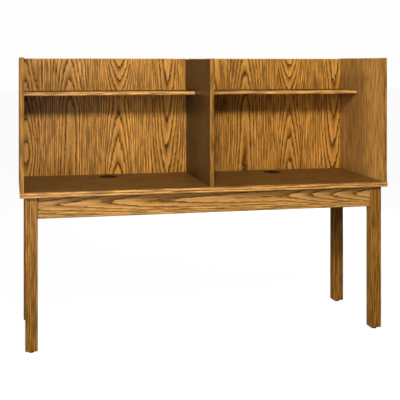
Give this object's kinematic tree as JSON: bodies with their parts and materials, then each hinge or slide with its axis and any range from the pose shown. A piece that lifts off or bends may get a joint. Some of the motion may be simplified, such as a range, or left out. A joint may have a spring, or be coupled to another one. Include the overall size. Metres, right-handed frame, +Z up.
{
  "type": "study carrel",
  "caption": "Oak library study carrel with side-by-side bays, shelves, cable grommets and a table base on square legs with levelling glides.",
  "frame": {"origin": "on the floor, under the centre of the overall footprint", "axes": "+Z up, +X to a sitter's right along the width, +Y from the open front to the back panels"},
  "size_m": [1.822, 0.617, 1.377],
  "materials": {
    "oak_veneer": "satin lacquer",
    "solid_oak": "satin lacquer",
    "beech": "raw",
    "zinc_steel": "zinc plated",
    "cast_zinc": "as cast",
    "black_plastic": "fine texture",
    "nylon": "smooth"
  },
  "bodies": {
    "carrel": {"angle_brackets": "zinc_steel", "cam_bolts": "zinc_steel", "cam_locks": "cast_zinc", "centre_divider": "oak_veneer", "centre_divider_front_band": "solid_oak", "centre_divider_rear_band": "solid_oak", "centre_divider_top_band": "solid_oak", "corner_braces": "zinc_steel", "cross_rail": "oak_veneer", "front_apron": "oak_veneer", "front_left_leg": "solid_oak", "front_right_leg": "solid_oak", "glide_inserts": "zinc_steel", "hanger_bolts": "zinc_steel", "hanger_nuts": "zinc_steel", "hanger_washers": "zinc_steel", "left_apron": "oak_veneer", "left_back_panel": "oak_veneer", "left_back_panel_top_band": "solid_oak", "left_end_panel": "oak_veneer", "left_end_panel_front_band": "solid_oak", "left_end_panel_rear_band": "solid_oak", "left_end_panel_top_band": "solid_oak", "left_grommet_liner": "black_plastic", "panel_dowels": "beech", "panel_screws": "zinc_steel", "rear_apron": "oak_veneer", "rear_left_leg": "solid_oak", "rear_right_leg": "solid_oak", "right_apron": "oak_veneer", "right_back_panel": "oak_veneer", "right_back_panel_top_band": "solid_oak", "right_end_panel": "oak_veneer", "right_end_panel_front_band": "solid_oak", "right_end_panel_rear_band": "solid_oak", "right_end_panel_top_band": "solid_oak", "right_grommet_liner": "black_plastic", "shelf_pins": "zinc_steel", "wood_screws": "zinc_steel", "worktop": "oak_veneer", "worktop_front_band": "solid_oak", "worktop_left_band": "solid_oak", "worktop_rear_band": "solid_oak", "worktop_right_band": "solid_oak"},
    "left_shelf_board": {"left_shelf": "oak_veneer", "left_shelf_front_band": "solid_oak"},
    "left_cap": {"left_grommet_cap": "black_plastic"},
    "left_shutter": {"left_grommet_shutter": "black_plastic"},
    "right_shelf_board": {"right_shelf": "oak_veneer", "right_shelf_front_band": "solid_oak"},
    "right_cap": {"right_grommet_cap": "black_plastic"},
    "right_shutter": {"right_grommet_shutter": "black_plastic"},
    "front_left_glide": {"front_left_glide_base": "nylon", "front_left_glide_stud": "zinc_steel"},
    "front_right_glide": {"front_right_glide_base": "nylon", "front_right_glide_stud": "zinc_steel"},
    "rear_left_glide": {"rear_left_glide_base": "nylon", "rear_left_glide_stud": "zinc_steel"},
    "rear_right_glide": {"rear_right_glide_base": "nylon", "rear_right_glide_stud": "zinc_steel"}
  },
  "joints": [
    {"name": "left_shelf_lift", "type": "slide", "parent": "carrel", "child": "left_shelf_board", "axis": [0, 0, 1], "range_m": [0, 0.15]},
    {"name": "left_cap_lift", "type": "slide", "parent": "carrel", "child": "left_cap", "axis": [0, 0, 1], "range_m": [0, 0.04]},
    {"name": "left_shutter_turn", "type": "hinge", "parent": "left_cap", "child": "left_shutter", "pos_m": [-0.45075, 0.1835, 0.74785], "axis": [0, 0, 1], "range_deg": [0, 180]},
    {"name": "right_shelf_lift", "type": "slide", "parent": "carrel", "child": "right_shelf_board", "axis": [0, 0, 1], "range_m": [0, 0.15]},
    {"name": "right_cap_lift", "type": "slide", "parent": "carrel", "child": "right_cap", "axis": [0, 0, 1], "range_m": [0, 0.04]},
    {"name": "right_shutter_turn", "type": "hinge", "parent": "right_cap", "child": "right_shutter", "pos_m": [0.45075, 0.1835, 0.74785], "axis": [0, 0, 1], "range_deg": [0, 180]},
    {"name": "front_left_glide_height", "type": "slide", "parent": "carrel", "child": "front_left_glide", "axis": [0, 0, -1], "range_m": [0, 0.012]},
    {"name": "front_right_glide_height", "type": "slide", "parent": "carrel", "child": "front_right_glide", "axis": [0, 0, -1], "range_m": [0, 0.012]},
    {"name": "rear_left_glide_height", "type": "slide", "parent": "carrel", "child": "rear_left_glide", "axis": [0, 0, -1], "range_m": [0, 0.012]},
    {"name": "rear_right_glide_height", "type": "slide", "parent": "carrel", "child": "rear_right_glide", "axis": [0, 0, -1], "range_m": [0, 0.012]}
  ]
}
